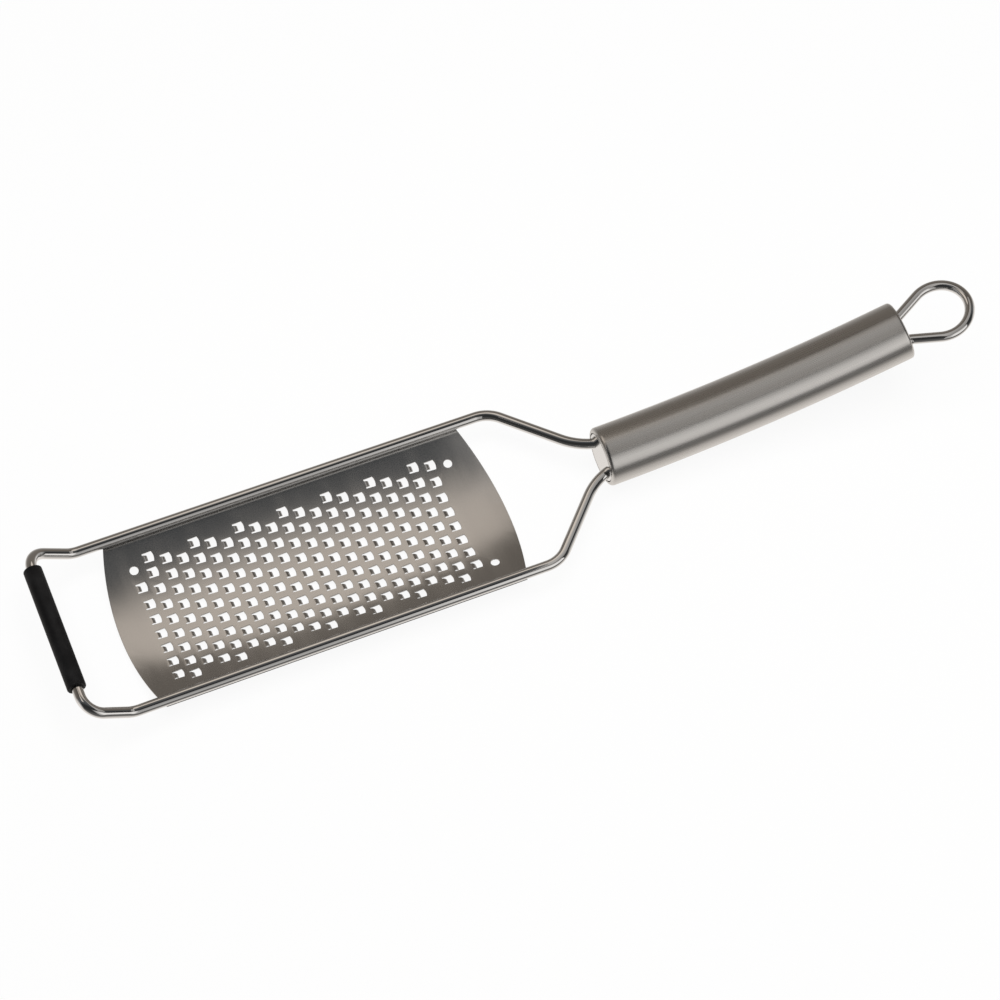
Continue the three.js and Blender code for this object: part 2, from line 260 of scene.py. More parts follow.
satin_sheet, tree = new_finish("satin_sheet")
place = object_place(tree)
rolling = stretched_noise(tree, place, ROLLING_LINE, detail=3.0)
wiping = contrast(tree, stretched_noise(tree, place, WIPING_MARK), MARK_FAINT, MARK_FULL)
clouds = stretched_noise(tree, place, SHEET_CLOUD, detail=3.0)
tone = 0.45 * clouds + 0.25 * rolling + 0.3 * wiping
colour = blend_colours(tree, tone, SHEET_DARK, SHEET_LIGHT)
roughness = 0.15 + 0.05 * rolling + 0.05 * wiping
normal = bump(tree, rolling, depth=0.0006 * MM, strength=0.3)
close_finish(tree, colour, METAL, roughness, normal)
print("satin_sheet:", len(tree.nodes), "nodes")

# %% [markdown]
# ## Polished wire
# The wire is drawn through a die and polished, which leaves it bright, with hard dark lines where it mirrors
# the dark part of the room. Faint cloudy marks keep it from looking like chrome on a computer.

# %% The polished wire
WIRE_DARK = (0.70, 0.695, 0.688, 1)
WIRE_LIGHT = (0.79, 0.785, 0.778, 1)
HANDLING_MARK = (7 * MM, 7 * MM, 7 * MM)
DRAWING_GRAIN = (0.4 * MM, 0.4 * MM, 0.4 * MM)

polished_wire, tree = new_finish("polished_wire")
place = object_place(tree)
handling = stretched_noise(tree, place, HANDLING_MARK, detail=4.0)
drawing = stretched_noise(tree, place, DRAWING_GRAIN)
tone = 0.7 * handling + 0.3 * drawing
colour = blend_colours(tree, tone, WIRE_DARK, WIRE_LIGHT)
roughness = 0.03 + 0.05 * handling + 0.02 * drawing
normal = bump(tree, drawing, depth=0.0008 * MM, strength=0.2)
close_finish(tree, colour, METAL, roughness, normal)
print("polished_wire:", len(tree.nodes), "nodes")

# %% [markdown]
# ## Brushed tube
# The handle was brushed along its length. The tube is bowed, so lines along X would run off its surface.
# The tube therefore carries an attribute, `tube_lines`, that gives each point its place on the tube before it
# was bent: distance along it, then the two directions across. The brushing is noise stretched along the
# first.

# %% The brushed tube
TUBE_DARK = (0.54, 0.527, 0.51, 1)
TUBE_LIGHT = (0.70, 0.687, 0.668, 1)
BRUSHING_LINE = (40 * MM, 0.22 * MM, 0.22 * MM)
COARSE_LINE = (70 * MM, 0.9 * MM, 0.9 * MM)
TUBE_CLOUD = (35 * MM, 8 * MM, 8 * MM)

brushed_tube, tree = new_finish("brushed_tube")
place = Socket.of(tree, "ShaderNodeAttribute", {"attribute_name": "tube_lines"}, {}, "Vector")
brushing = stretched_noise(tree, place, BRUSHING_LINE, detail=3.0)
coarse_lines = stretched_noise(tree, place, COARSE_LINE)
clouds = stretched_noise(tree, place, TUBE_CLOUD, detail=3.0)
tone = 0.4 * brushing + 0.35 * coarse_lines + 0.25 * clouds
colour = blend_colours(tree, tone, TUBE_DARK, TUBE_LIGHT)
roughness = 0.2 + 0.1 * brushing + 0.06 * clouds
normal = bump(tree, brushing + coarse_lines, depth=0.0025 * MM, strength=0.35)
close_finish(tree, colour, METAL, roughness, normal)
print("brushed_tube:", len(tree.nodes), "nodes")

# %% [markdown]
# ## Bright end caps
# The caps that close the ends of the handle are paler than the tube, with a plain satin face.

# %% The bright caps
CAP_DARK = (0.74, 0.738, 0.735, 1)
CAP_LIGHT = (0.82, 0.818, 0.815, 1)
CAP_GRAIN = (0.35 * MM, 0.35 * MM, 6 * MM)
CAP_CLOUD = (5 * MM, 5 * MM, 5 * MM)

bright_cap, tree = new_finish("bright_cap")
place = object_place(tree)
grain = stretched_noise(tree, place, CAP_GRAIN, detail=3.0)
clouds = stretched_noise(tree, place, CAP_CLOUD, detail=3.0)
colour = blend_colours(tree, 0.5 * grain + 0.5 * clouds, CAP_DARK, CAP_LIGHT)
roughness = 0.08 + 0.06 * grain
normal = bump(tree, grain, depth=0.0008 * MM, strength=0.25)
close_finish(tree, colour, METAL, roughness, normal)
print("bright_cap:", len(tree.nodes), "nodes")

# %% [markdown]
# ## Soft sleeve
# The sleeve on the front bow is soft black plastic hose. It is matt, with a fine grain, and a little greyer
# where it was handled.

# %% The soft sleeve
SLEEVE_DARK = (0.004, 0.004, 0.0045, 1)
SLEEVE_LIGHT = (0.010, 0.010, 0.0105, 1)
SLEEVE_GRAIN = (0.3 * MM, 0.3 * MM, 0.3 * MM)
SLEEVE_MARK = (5 * MM, 8 * MM, 5 * MM)

soft_sleeve, tree = new_finish("soft_sleeve")
place = object_place(tree)
grain = stretched_noise(tree, place, SLEEVE_GRAIN, detail=3.0)
marks = stretched_noise(tree, place, SLEEVE_MARK, detail=3.0)
handling = contrast(tree, marks, MARK_FAINT, MARK_FULL)
colour = blend_colours(tree, handling, SLEEVE_DARK, SLEEVE_LIGHT)
roughness = 0.5 + 0.12 * grain + 0.06 * handling
normal = bump(tree, grain, depth=0.025 * MM, strength=0.4)
close_finish(tree, colour, NOT_METAL, roughness, normal, gloss=0.25)
print("soft_sleeve:", len(tree.nodes), "nodes")

# %% [markdown]
# ## From a bmesh to a piece
# Every piece ends the same way: its normals are made to point outwards, it becomes an object at the origin,
# its faces are shaded smooth except across real edges, it hangs from the root body, and the solid that it
# stands for is hidden.

# %% Turn a bmesh into a piece
SHARP_EDGE = radians(35)


def finish_piece(bm, name, material, node):
    """Makes the object of a piece that stands for one solid and takes its finish from one slot."""
    bmesh.ops.recalc_face_normals(bm, faces=bm.faces[:])
    mesh = bpy.data.meshes.new(name)
    bm.to_mesh(mesh)
    open_edges = sum(1 for edge in bm.edges if len(edge.link_faces) != 2)
    bm.free()
    mesh.shade_smooth()
    mesh.set_sharp_from_angle(angle=SHARP_EDGE)
    mesh.materials.append(material)
    piece = bpy.data.objects.new(name, mesh)
    bpy.context.scene.collection.objects.link(piece)
    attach(piece, "root")
    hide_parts(node)
    print(f"{name}: {len(mesh.polygons)} faces, {open_edges} open edges")
    return piece


# %% Round some edges of a bmesh
def round_edges(bm, edges, offset, segments):
    """Rounds edges by an offset, or chamfers them where there is one segment."""
    bmesh.ops.bevel(
        bm,
        geom=edges,
        offset=offset,
        affect="EDGES",
        segments=segments,
        profile=0.5,
        material=-1,
        clamp_overlap=True,
    )


print("edges can be rounded")

# %% [markdown]
# ## The grating sheet, first as a flat punched strip
# A press punches the teeth while the sheet is flat, and the sheet is rolled afterwards. The mesh is made in
# the same order. It starts as a grid with one cell for each tooth. On this grater each column of teeth sits a
# third of a row lower than the one before, so the grid is sheared until its cells follow that slant.
# Here X runs along the sheet, Y is the distance across it measured on the surface, and Z is 0 on its hollow
# side.

# %% Lay out one slanted cell for each tooth
COLUMN_PITCH = 5.67 * MM
ROW_PITCH = 6.4 * MM
COLUMNS_EACH_WAY = 10
LANES_EACH_WAY = 12
LANES_PER_ROW = 3
PATTERN_OFFSET = -2.95 * MM
PATTERN_OFFSET_ACROSS = 0.17 * MM
GRID_COLUMNS = 29
GRID_ROWS = 21
UNIT_SIDE = 1

lane_pitch = ROW_PITCH / LANES_PER_ROW
pattern_middle = Vector((sheet_middle_x + PATTERN_OFFSET, PATTERN_OFFSET_ACROSS, 0))

sheet = bmesh.new()
bmesh.ops.create_grid(sheet, x_segments=GRID_COLUMNS, y_segments=GRID_ROWS, size=UNIT_SIDE / 2)
stretch = Matrix.Diagonal((GRID_COLUMNS * COLUMN_PITCH, GRID_ROWS * ROW_PITCH, 1, 1))
slant = Matrix.Identity(4)
slant[1][0] = -lane_pitch / COLUMN_PITCH
lay_out = Matrix.Translation(pattern_middle) @ slant @ stretch
bmesh.ops.transform(sheet, matrix=lay_out, verts=sheet.verts[:])
print("grid of", len(sheet.faces), "cells")

# %% [markdown]
# Three plain round holes near the corners take the place of teeth. They sit a little beside the grid, so the
# four corners of the nearest cell move over until the cell is centred on its hole. All other cells inside the
# pattern become teeth.

# %% Choose the cells for teeth and for round holes
ROUND_HOLE_INSET = 13 * MM
ROUND_HOLE_SPREAD = 46 * MM


def cell_middle(face):
    return face.calc_center_median()


def is_tooth(face):
    """A cell holds a tooth where its column and its lane are inside the pattern."""
    column = round((cell_middle(face).x - pattern_middle.x) / COLUMN_PITCH)
    lane = round((pattern_middle.y - cell_middle(face).y) / lane_pitch)
    return abs(column) <= COLUMNS_EACH_WAY and abs(lane) <= LANES_EACH_WAY


hole_x = sheet_length / 2 - ROUND_HOLE_INSET
hole_y = ROUND_HOLE_SPREAD / 2
round_holes = [
    Vector((sheet_middle_x + hole_x, hole_y, 0)),
    Vector((sheet_middle_x + hole_x, -hole_y, 0)),
    Vector((sheet_middle_x - hole_x, hole_y, 0)),
]
round_cells = []
for hole in round_holes:
    cell = min(sheet.faces, key=lambda face: (cell_middle(face) - hole).length)
    bmesh.ops.translate(sheet, verts=cell.verts[:], vec=hole - cell_middle(cell))
    round_cells.append(cell)
tooth_cells = [face for face in sheet.faces if is_tooth(face) and face not in round_cells]
tooth_middles = [cell_middle(face) for face in tooth_cells]
print(len(tooth_cells), "teeth and", len(round_cells), "round holes")

# %% [markdown]
# ### The square windows
# Insetting a cell leaves a frame of four faces around a smaller face. That smaller face is squared up to the
# size of the punched window and taken out. The rear side of the window is bowed outwards, and the window
# narrows a little towards the front. Its front side gets two more points, because only its middle carries the
# tongue.

# %% Punch the windows
TOOTH_HOLE = 3.9 * MM
TONGUE_WIDTH = 2.5 * MM
WINDOW_BOW = 0.4 * MM
WINDOW_TAPER = 0.18 * MM
INSET = 0.4 * MM
TONGUE_ROOT_CUTS = 2
REAR_BOW_CUTS = 3

half_window = TOOTH_HOLE / 2
bmesh.ops.inset_individual(sheet, faces=tooth_cells, thickness=INSET, use_even_offset=True)
front_sides = []
rear_sides = []
for cell, middle in zip(tooth_cells, tooth_middles):
    for corner in cell.verts:
        offset = corner.co - middle
        half_height = half_window if offset.x > 0 else half_window - WINDOW_TAPER
        corner.co = middle + Vector((copysign(half_window, offset.x), copysign(half_height, offset.y), 0))
    for edge in cell.edges:
        side = (edge.verts[0].co + edge.verts[1].co) / 2 - middle
        if side.x < -half_window / 2:
            front_sides.append(edge)
        if side.x > half_window / 2:
            rear_sides.append(edge)
bmesh.ops.subdivide_edges(sheet, edges=front_sides, cuts=TONGUE_ROOT_CUTS)
bmesh.ops.subdivide_edges(sheet, edges=rear_sides, cuts=REAR_BOW_CUTS)

tongue_roots = []
for cell, middle in zip(tooth_cells, tooth_middles):
    root_points = []
    for point in cell.verts:
        offset = point.co - middle
        if offset.x > 0:
            point.co.x -= WINDOW_BOW * (offset.y / half_window) ** 2
        elif abs(offset.y) < half_window / 2:
            point.co.y = middle.y + copysign(TONGUE_WIDTH / 2, offset.y)
            root_points.append(point)
    tongue_roots.append(next(edge for edge in root_points[0].link_edges if root_points[1] in edge.verts))
bmesh.ops.delete(sheet, geom=tooth_cells, context="FACES")
print("windows of", TOOTH_HOLE / MM, "mm,", len(tongue_roots), "tongue roots")

# %% [markdown]
# ### The round holes
# A round hole starts as the same inset. Each of its four sides is cut in four, and every point is then pushed
# out to the radius of the drill.

# %% Drill the round holes
ROUND_HOLE_DIAMETER = 3.3 * MM
ROUND_SIDE_CUTS = 3

bmesh.ops.inset_individual(sheet, faces=round_cells, thickness=INSET, use_even_offset=True)
for cell, hole in zip(round_cells, round_holes):
    for corner in cell.verts:
        offset = corner.co - hole
        corner.co = hole + Vector((copysign(1, offset.x), copysign(1, offset.y), 0)) * ROUND_HOLE_DIAMETER / 2
    bmesh.ops.subdivide_edges(sheet, edges=cell.edges[:], cuts=ROUND_SIDE_CUTS)
    for point in cell.verts:
        offset = point.co - hole
        around = atan2(offset.y, offset.x)
        point.co = hole + Vector((cos(around), sin(around), 0)) * ROUND_HOLE_DIAMETER / 2
bmesh.ops.delete(sheet, geom=round_cells, context="FACES")
print(len(round_holes), "holes of", ROUND_HOLE_DIAMETER / MM, "mm")

# %% [markdown]
# ### The outline
# The long sides are straight and the ends are shallow arcs. The outline is convex, so the sheet can be trimmed
# like a board on a saw: one cut along each long side, and a fan of short cuts that goes round each end. A cut
# that passes close to a corner of the grid leaves points that nearly meet, and narrow slivers of faces. Both
# would smear the smooth shading at the outline, so such points are welded to the outline and each sliver is
# joined to its neighbour.

# %% Trim the outline
SHEET_END_RADIUS = 112 * MM
END_CUTS = 24

flat_half_width = SHEET_RADIUS * asin(sheet_edge_y / SHEET_RADIUS)
end_depth = SHEET_END_RADIUS - sqrt(SHEET_END_RADIUS**2 - sheet_edge_y**2)
flat_end_radius = (flat_half_width**2 + end_depth**2) / (2 * end_depth)
end_half_angle = asin(flat_half_width / flat_end_radius)


def saw(point, outwards):
    """Cuts the flat sheet along a straight line and drops what is outside it."""
    everything = sheet.verts[:] + sheet.edges[:] + sheet.faces[:]
    bmesh.ops.bisect_plane(sheet, geom=everything, plane_co=point, plane_no=outwards, clear_outer=True)


for side in (1, -1):
    saw(Vector((0, side * flat_half_width, 0)), Vector((0, side, 0)))
    arc_middle = Vector((sheet_middle_x + side * (sheet_length / 2 - flat_end_radius), 0, 0))
    for cut in range(END_CUTS + 1):
        angle = end_half_angle * (2 * cut / END_CUTS - 1)
        outwards = Vector((side * cos(angle), sin(angle), 0))
        saw(arc_middle + outwards * flat_end_radius, outwards)
print("flat sheet", round(sheet_length / MM, 1), "x", round(2 * flat_half_width / MM, 1), "mm")

# %% Weld close points and join slivers
CLOSE_POINTS = 0.25 * MM
SLIVER_AREA = 2 * MM * MM

outline_points = [point for point in sheet.verts if point.is_boundary]
close = bmesh.ops.find_doubles(sheet, verts=sheet.verts[:], keep_verts=outline_points, dist=CLOSE_POINTS)
bmesh.ops.weld_verts(sheet, targetmap=close["targetmap"])
bmesh.ops.remove_doubles(sheet, verts=sheet.verts[:], dist=CLOSE_POINTS)
slivers = [face for face in sheet.faces if face.calc_area() < SLIVER_AREA]
inner_edges = []
for face in slivers:
    shared = [edge for edge in face.edges if len(edge.link_faces) == 2]
    inner_edges.append(max(shared, key=lambda edge: edge.calc_length()))
bmesh.ops.dissolve_edges(sheet, edges=list(set(inner_edges)), use_verts=False)
print(len(slivers), "slivers at the outline joined to their neighbours,", len(sheet.faces), "faces left")

# %% [markdown]
# ### Thickness and tongues
# Solidify gives the sheet its thickness on the underside. The wall of each window now has one small face
# between the two points of the tongue's root. Extruding that face three times, each time a little further down
# and a little thinner, bends the tongue out of the sheet, as the punch does. All tongues are extruded at once.

# %% Give the sheet its thickness
SHEET_THICKNESS = 0.6 * MM

bmesh.ops.recalc_face_normals(sheet, faces=sheet.faces[:])
if sum(face.normal.z for face in sheet.faces) < 0:
    bmesh.ops.reverse_faces(sheet, faces=sheet.faces[:])
bmesh.ops.solidify(sheet, geom=sheet.faces[:], thickness=SHEET_THICKNESS)
heights = [point.co.z / MM for point in sheet.verts]
print(f"sheet from {min(heights):.2f} to {max(heights):.2f} mm")

# %% Bend the tongues out of the sheet
TONGUE_LENGTH = 2 * MM
TONGUE_ANGLE = radians(32.5)
TONGUE_BEND = (0.2, 1.1, 1.4)
TONGUE_TIP_THICKNESS = 0.25 * MM
TONGUE_TIP_WIDTH = 2 * MM

tongue_faces = []
for root in tongue_roots:
    tongue_faces.append(min(root.link_faces, key=lambda face: abs(face.normal.z)))
root_places = [face.calc_center_median() for face in tongue_faces]

step_length = TONGUE_LENGTH / len(TONGUE_BEND)
reach = 0
drop = 0
for step, bend in enumerate(TONGUE_BEND, start=1):
    angle = TONGUE_ANGLE * bend
    reach += step_length * cos(angle)
    drop += step_length * sin(angle)
    done = step / len(TONGUE_BEND)
    thickness = SHEET_THICKNESS + (TONGUE_TIP_THICKNESS - SHEET_THICKNESS) * done
    half_width = (TONGUE_WIDTH + (TONGUE_TIP_WIDTH - TONGUE_WIDTH) * done) / 2
    tongue_faces = bmesh.ops.extrude_discrete_faces(sheet, faces=tongue_faces)["faces"]
    for face in tongue_faces:
        middle = face.calc_center_median()
        place = min(root_places, key=lambda root: (root - middle).length)
        for point in face.verts:
            below = thickness if point.co.z < middle.z else 0
            point.co.x = place.x + reach - below * sin(angle)
            point.co.z = -drop - below * cos(angle)
            point.co.y = middle.y + copysign(half_width, point.co.y - middle.y)
print(f"tongues reach {reach / MM:.2f} mm and drop {drop / MM:.2f} mm")

# %% [markdown]
# ### Broken edges, and rolling the sheet
# A punched edge is never perfectly sharp, and it is the thin bright line along each window that makes sheet
# steel look like steel. A small chamfer on every edge gives that line. At the very end the flat sheet is
# rolled: the distance across becomes an angle on the cylinder, and the height a change of its radius.

# %% Chamfer the edges and roll the sheet
SHEET_CHAMFER = 0.06 * MM
CHAMFER_ANGLE = radians(50)

sharp_edges = [edge for edge in sheet.edges if edge.calc_face_angle(0) > CHAMFER_ANGLE]
round_edges(sheet, sharp_edges, SHEET_CHAMFER, segments=1)
for point in sheet.verts:
    along, across, height = point.co
    turn = across / SHEET_RADIUS
    radius = SHEET_RADIUS - height
    point.co = Vector((along, radius * sin(turn), trough_z + SHEET_RADIUS - radius * cos(turn)))
finish_piece(sheet, "grating_sheet", satin_sheet, "grating_blade")

# %% [markdown]
# ## A wire bender
# Bent wire is made on a bench by two moves: push the wire forward, or turn it round a pin. The class here does
# the same with a ring of edges. `push` extrudes the ring straight on, and `turn` spins it round a pin.
# `follow` takes the corners of a path with the radius of each bend, and works out the pushes and turns between
# them. It also draws the skins of the handle tube and of the sleeve, which are only wider wires.

# %% Bend wires from rings of edges
TURN_STEP = radians(5)
LONGEST_STEP = 8 * MM
SAME_PLACE = 0.001 * MM


class WireBender:
    """Draws a round wire from a start, by pushes and turns."""

    def __init__(self, bm, start, heading, diameter, sides, closed_end):
        self.bm = bm
        self.place = start
        self.heading = heading.normalized()
        facing = self.heading.to_track_quat("Z", "Y").to_matrix().to_4x4()
        ring = bmesh.ops.create_circle(
            bm,
            cap_ends=closed_end,
            radius=diameter / 2,
            segments=sides,
            matrix=Matrix.Translation(start) @ facing,
        )
        self.ring = list({edge for point in ring["verts"] for edge in point.link_edges})
        self.first_ring = self.ring

    def take_ring(self, made):
        """Keeps the edges of the newest ring and returns its points."""
        points = {item for item in made if isinstance(item, bmesh.types.BMVert)}
        edges = [item for item in made if isinstance(item, bmesh.types.BMEdge)]
        self.ring = [edge for edge in edges if edge.verts[0] in points and edge.verts[1] in points]
        return list(points)

    def push(self, distance):
        made = bmesh.ops.extrude_edge_only(self.bm, edges=self.ring)["geom"]
        points = self.take_ring(made)
        bmesh.ops.translate(self.bm, verts=points, vec=self.heading * distance)
        self.place = self.place + self.heading * distance

    def turn(self, pin_radius, angle, axis):
        pin = self.place + axis.cross(self.heading) * pin_radius
        steps = max(ceil(angle / TURN_STEP), ceil(angle * pin_radius / LONGEST_STEP))
        made = bmesh.ops.spin(
            self.bm,
            geom=self.ring,
            cent=pin,
            axis=axis,
            dvec=Vector((0, 0, 0)),
            angle=angle,
            steps=steps,
            use_merge=False,
            use_duplicate=False,
        )
        self.take_ring(made["geom_last"])
        rotation = Matrix.Rotation(angle, 3, axis)
        self.place = pin + rotation @ (self.place - pin)
        self.heading = rotation @ self.heading

    def follow(self, corners, pin_radii):
        """Goes through the corners, turning at each but the last on its own pin."""
        for corner, after, pin_radius in zip(corners, corners[1:], pin_radii):
            leaving = (after - corner).normalized()
            angle = self.heading.angle(leaving)
            axis = self.heading.cross(leaving).normalized()
            self.push((corner - self.place).length - pin_radius * tan(angle / 2))
            self.turn(pin_radius, angle, axis)
        self.push((corners[-1] - self.place).length)


def mirror_across(bm):
    """Adds the other half of a piece that is the same on both sides of the grater."""
    everything = bm.verts[:] + bm.edges[:] + bm.faces[:]
    bmesh.ops.mirror(bm, geom=everything, matrix=Matrix.Identity(4), merge_dist=SAME_PLACE, axis="Y")


def close_tube(bm, outer, inner, rounding, segments):
    """Bridges an outer and an inner skin at both ends, and rounds the outer edges."""
    bmesh.ops.bridge_loops(bm, edges=outer.first_ring + inner.first_ring)
    bmesh.ops.bridge_loops(bm, edges=outer.ring + inner.ring)
    bmesh.ops.recalc_face_normals(bm, faces=bm.faces[:])
    round_edges(bm, outer.first_ring + outer.ring, rounding, segments)


print("wire bender turns in steps of", round(degrees(TURN_STEP)), "degrees")

# %% [markdown]
# ## The frame
# One wire, the same on both sides. Half of it is bent from its end inside the handle: along the leg, out
# through the throat, along the rail, up the arm of the front bow and round to the middle of the cross wire.
# A mirror makes the other half. The seam lies under the sleeve.

# %% Bend the frame
LEG_SPACING = 10.8 * MM
THROAT_RISE_ANGLE = radians(2.1)
THROAT_LENGTH = 27.6 * MM
THROAT_REAR_RADIUS = 25 * MM
THROAT_FRONT_RADIUS = 12 * MM
REAR_OVERHANG = 7.5 * MM
FRONT_OVERHANG = 5.9 * MM
FOOT_BEND_RADIUS = 8 * MM
FOOT_CORNER_RADIUS = 7 * MM
LEG_SHOWING = 3.05 * MM
LEG_LENGTH_INSIDE = 24 * MM
WIRE_SIDES = 32

leg_y = LEG_SPACING / 2
throat_x = sheet_middle_x + sheet_length / 2 + REAR_OVERHANG
rising = Vector((cos(THROAT_RISE_ANGLE), 0, sin(THROAT_RISE_ANGLE)))
behind_rails = Vector((throat_x, 0, rail_z))
leg_bend = behind_rails + rising * THROAT_LENGTH + Vector((0, leg_y, 0))
leg_end = leg_bend + rising * (LEG_SHOWING + LEG_LENGTH_INSIDE)
rail_rear = Vector((throat_x, rail_y, rail_z))
rail_front = Vector((sheet_middle_x - sheet_length / 2 - FRONT_OVERHANG, rail_y, rail_z))
bow_corner = Vector((bow_x, rail_y, bow_z))
bow_middle = Vector((bow_x, 0, bow_z))

frame_wire = bmesh.new()
bender = WireBender(frame_wire, leg_end, leg_bend - leg_end, WIRE_DIAMETER, WIRE_SIDES, True)
bender.follow(
    [leg_bend, rail_rear, rail_front, bow_corner, bow_middle],
    [THROAT_REAR_RADIUS, THROAT_FRONT_RADIUS, FOOT_BEND_RADIUS, FOOT_CORNER_RADIUS],
)
mirror_across(frame_wire)
finish_piece(frame_wire, "bent_frame", polished_wire, "wire_frame")

# %% [markdown]
# ## The handle
# The handle is bowed on one long radius, so it can be drawn by turning a ring round a far pin. An outer and an
# inner skin are turned round the same pin and bridged at both ends. The inner skin is a hair shorter, because
# a bridge between two rings in one plane cannot tell which way round they run. The ends of the tube are rolled
# in round the caps, so their outer edges are well rounded. A ring of edges close behind each rounded end keeps
# the smooth shading of the rounding from running along the tube.

# %% Find places along the bowed handle
HANDLE_DIAMETER = 22.4 * MM
HANDLE_WALL = 1.7 * MM
HANDLE_LENGTH = 122.5 * MM
HANDLE_FRONT_ANGLE = radians(1.9)
HANDLE_BOW_ANGLE = radians(12.05)

bow_radius = HANDLE_LENGTH / HANDLE_BOW_ANGLE
bow_axis = Vector((0, -1, 0))
front_heading = Vector((cos(HANDLE_FRONT_ANGLE), 0, sin(HANDLE_FRONT_ANGLE)))
handle_front = behind_rails + rising * (THROAT_LENGTH + LEG_SHOWING)
far_pin = handle_front + bow_axis.cross(front_heading) * bow_radius


def handle_station(distance):
    """A place on the handle's axis, behind its front face, and the heading of the axis there."""
    turn = Matrix.Rotation(distance / bow_radius, 3, bow_axis)
    return far_pin + turn @ (handle_front - far_pin), turn @ front_heading


handle_rear, rear_heading = handle_station(HANDLE_LENGTH)
print(f"handle from x {handle_front.x / MM:.1f} to {handle_rear.x / MM:.1f} mm")
print(f"its rear end is {handle_rear.z / MM:.1f} mm up")

# %% Bend the handle tube
HANDLE_SIDES = 96
RIM_ROUNDING = 1.4 * MM
RIM_SEGMENTS = 8
RIM_SUPPORT = 0.5 * MM
SKIN_STEP = 0.05 * MM

rim_length = RIM_ROUNDING + RIM_SUPPORT
bore = HANDLE_DIAMETER - 2 * HANDLE_WALL
tube = bmesh.new()
skins = []
for diameter, step in ((HANDLE_DIAMETER, 0), (bore, SKIN_STEP)):
    skin = WireBender(tube, *handle_station(step), diameter, HANDLE_SIDES, closed_end=False)
    for run in (rim_length - step, HANDLE_LENGTH - 2 * rim_length, rim_length - step):
        skin.turn(bow_radius, run / bow_radius, bow_axis)
    skins.append(skin)
close_tube(tube, *skins, RIM_ROUNDING, RIM_SEGMENTS)
handle_tube = finish_piece(tube, "handle_skin", brushed_tube, "handle_tube")

# %% Write each point's place on the straight tube
lines = handle_tube.data.attributes.new("tube_lines", "FLOAT_VECTOR", "POINT")
for vertex, line in zip(handle_tube.data.vertices, lines.data):
    arm = vertex.co - far_pin
    turned = atan2(arm.x, -arm.z) - HANDLE_FRONT_ANGLE
    line.vector = (turned * bow_radius, arm.y, bow_radius - hypot(arm.x, arm.z))
print("tube_lines on", len(lines.data), "points")

# %% [markdown]
# ## The end caps
# A cap closes each end of the handle, flush with the rolled-in end of the tube. A fine gap round it is the dark
# line on the end of the handle. Two wires are welded into its face. A cap is round about the handle's axis, so
# half of its outline is spun once round, and the edge of its face is rounded. It is drawn upright and then set
# into the handle by a matrix whose Z axis points inwards.

# %% Turn the two end caps
CAP_ROUNDING = 0.3 * MM
CAP_SEGMENTS = 3
CAP_LENGTH = 7.6 * MM
CAP_GAP = 0.3 * MM
CAP_SIDES = 96


def end_cap(name, node, face, inwards):
    """A cap with the middle of its face at a place on the handle's axis."""
    cap_radius = HANDLE_DIAMETER / 2 - HANDLE_WALL - CAP_GAP
    flat_radius = cap_radius - CAP_ROUNDING - RIM_SUPPORT
    outline = [(0, 0), (flat_radius, 0), (cap_radius, 0), (cap_radius, CAP_LENGTH), (0, CAP_LENGTH)]
    cap = bmesh.new()
    points = [cap.verts.new((radius, 0, depth)) for radius, depth in outline]
    edges = [cap.edges.new(pair) for pair in zip(points, points[1:])]
    bmesh.ops.spin(
        cap,
        geom=points + edges,
        cent=Vector((0, 0, 0)),
        axis=Vector((0, 0, 1)),
        dvec=Vector((0, 0, 0)),
        angle=2 * pi,
        steps=CAP_SIDES,
        use_merge=True,
        use_duplicate=False,
    )
    bmesh.ops.remove_doubles(cap, verts=cap.verts[:], dist=SAME_PLACE)
    bmesh.ops.recalc_face_normals(cap, faces=cap.faces[:])
    face_points = [point for point in cap.verts if point.co.z < SAME_PLACE]
    rim_points = {point for point in face_points if point.co.xy.length > flat_radius + SAME_PLACE}
    rim = [edge for edge in cap.edges if set(edge.verts) <= rim_points]
    round_edges(cap, rim, CAP_ROUNDING, CAP_SEGMENTS)
    across = Vector((0, 1, 0))
    setting = Matrix((across.cross(inwards), across, inwards)).transposed().to_4x4()
    bmesh.ops.transform(cap, matrix=Matrix.Translation(face) @ setting, verts=cap.verts[:])
    finish_piece(cap, name, bright_cap, node)


end_cap("front_cap", "handle_front_cap", handle_front, front_heading)
end_cap("rear_cap", "handle_rear_cap", handle_rear, -rear_heading)

# %% [markdown]
# ## The hanging loop
# The loop is bent from a slightly thinner wire. Its legs leave the rear cap side by side, swing outwards on a
# small pin, and then run tangent to the round eye. The swing angle is the one at which that straight just
# touches the eye. One half is bent and mirrored.

# %% Bend the hanging loop
LOOP_WIRE_DIAMETER = 3.8 * MM
LOOP_LEG_SPACING = 10.4 * MM
LOOP_RADIUS = 11 * MM
LOOP_REACH = 15.6 * MM
LOOP_NECK = 0.6 * MM
LOOP_NECK_RADIUS = 4 * MM
LOOP_LENGTH_INSIDE = 19.5 * MM

loop_leg_y = LOOP_LEG_SPACING / 2
neck_to_eye = LOOP_REACH - LOOP_NECK
swing = asin(LOOP_RADIUS / hypot(neck_to_eye, loop_leg_y)) - atan2(loop_leg_y, neck_to_eye)
tangent_run = sqrt(neck_to_eye**2 + loop_leg_y**2 - LOOP_RADIUS**2)
aside = Vector((0, 1, 0))
neck = handle_rear + rear_heading * LOOP_NECK + aside * loop_leg_y
touching = neck + (rear_heading * cos(swing) + aside * sin(swing)) * tangent_run
loop_upwards = rear_heading.cross(aside)

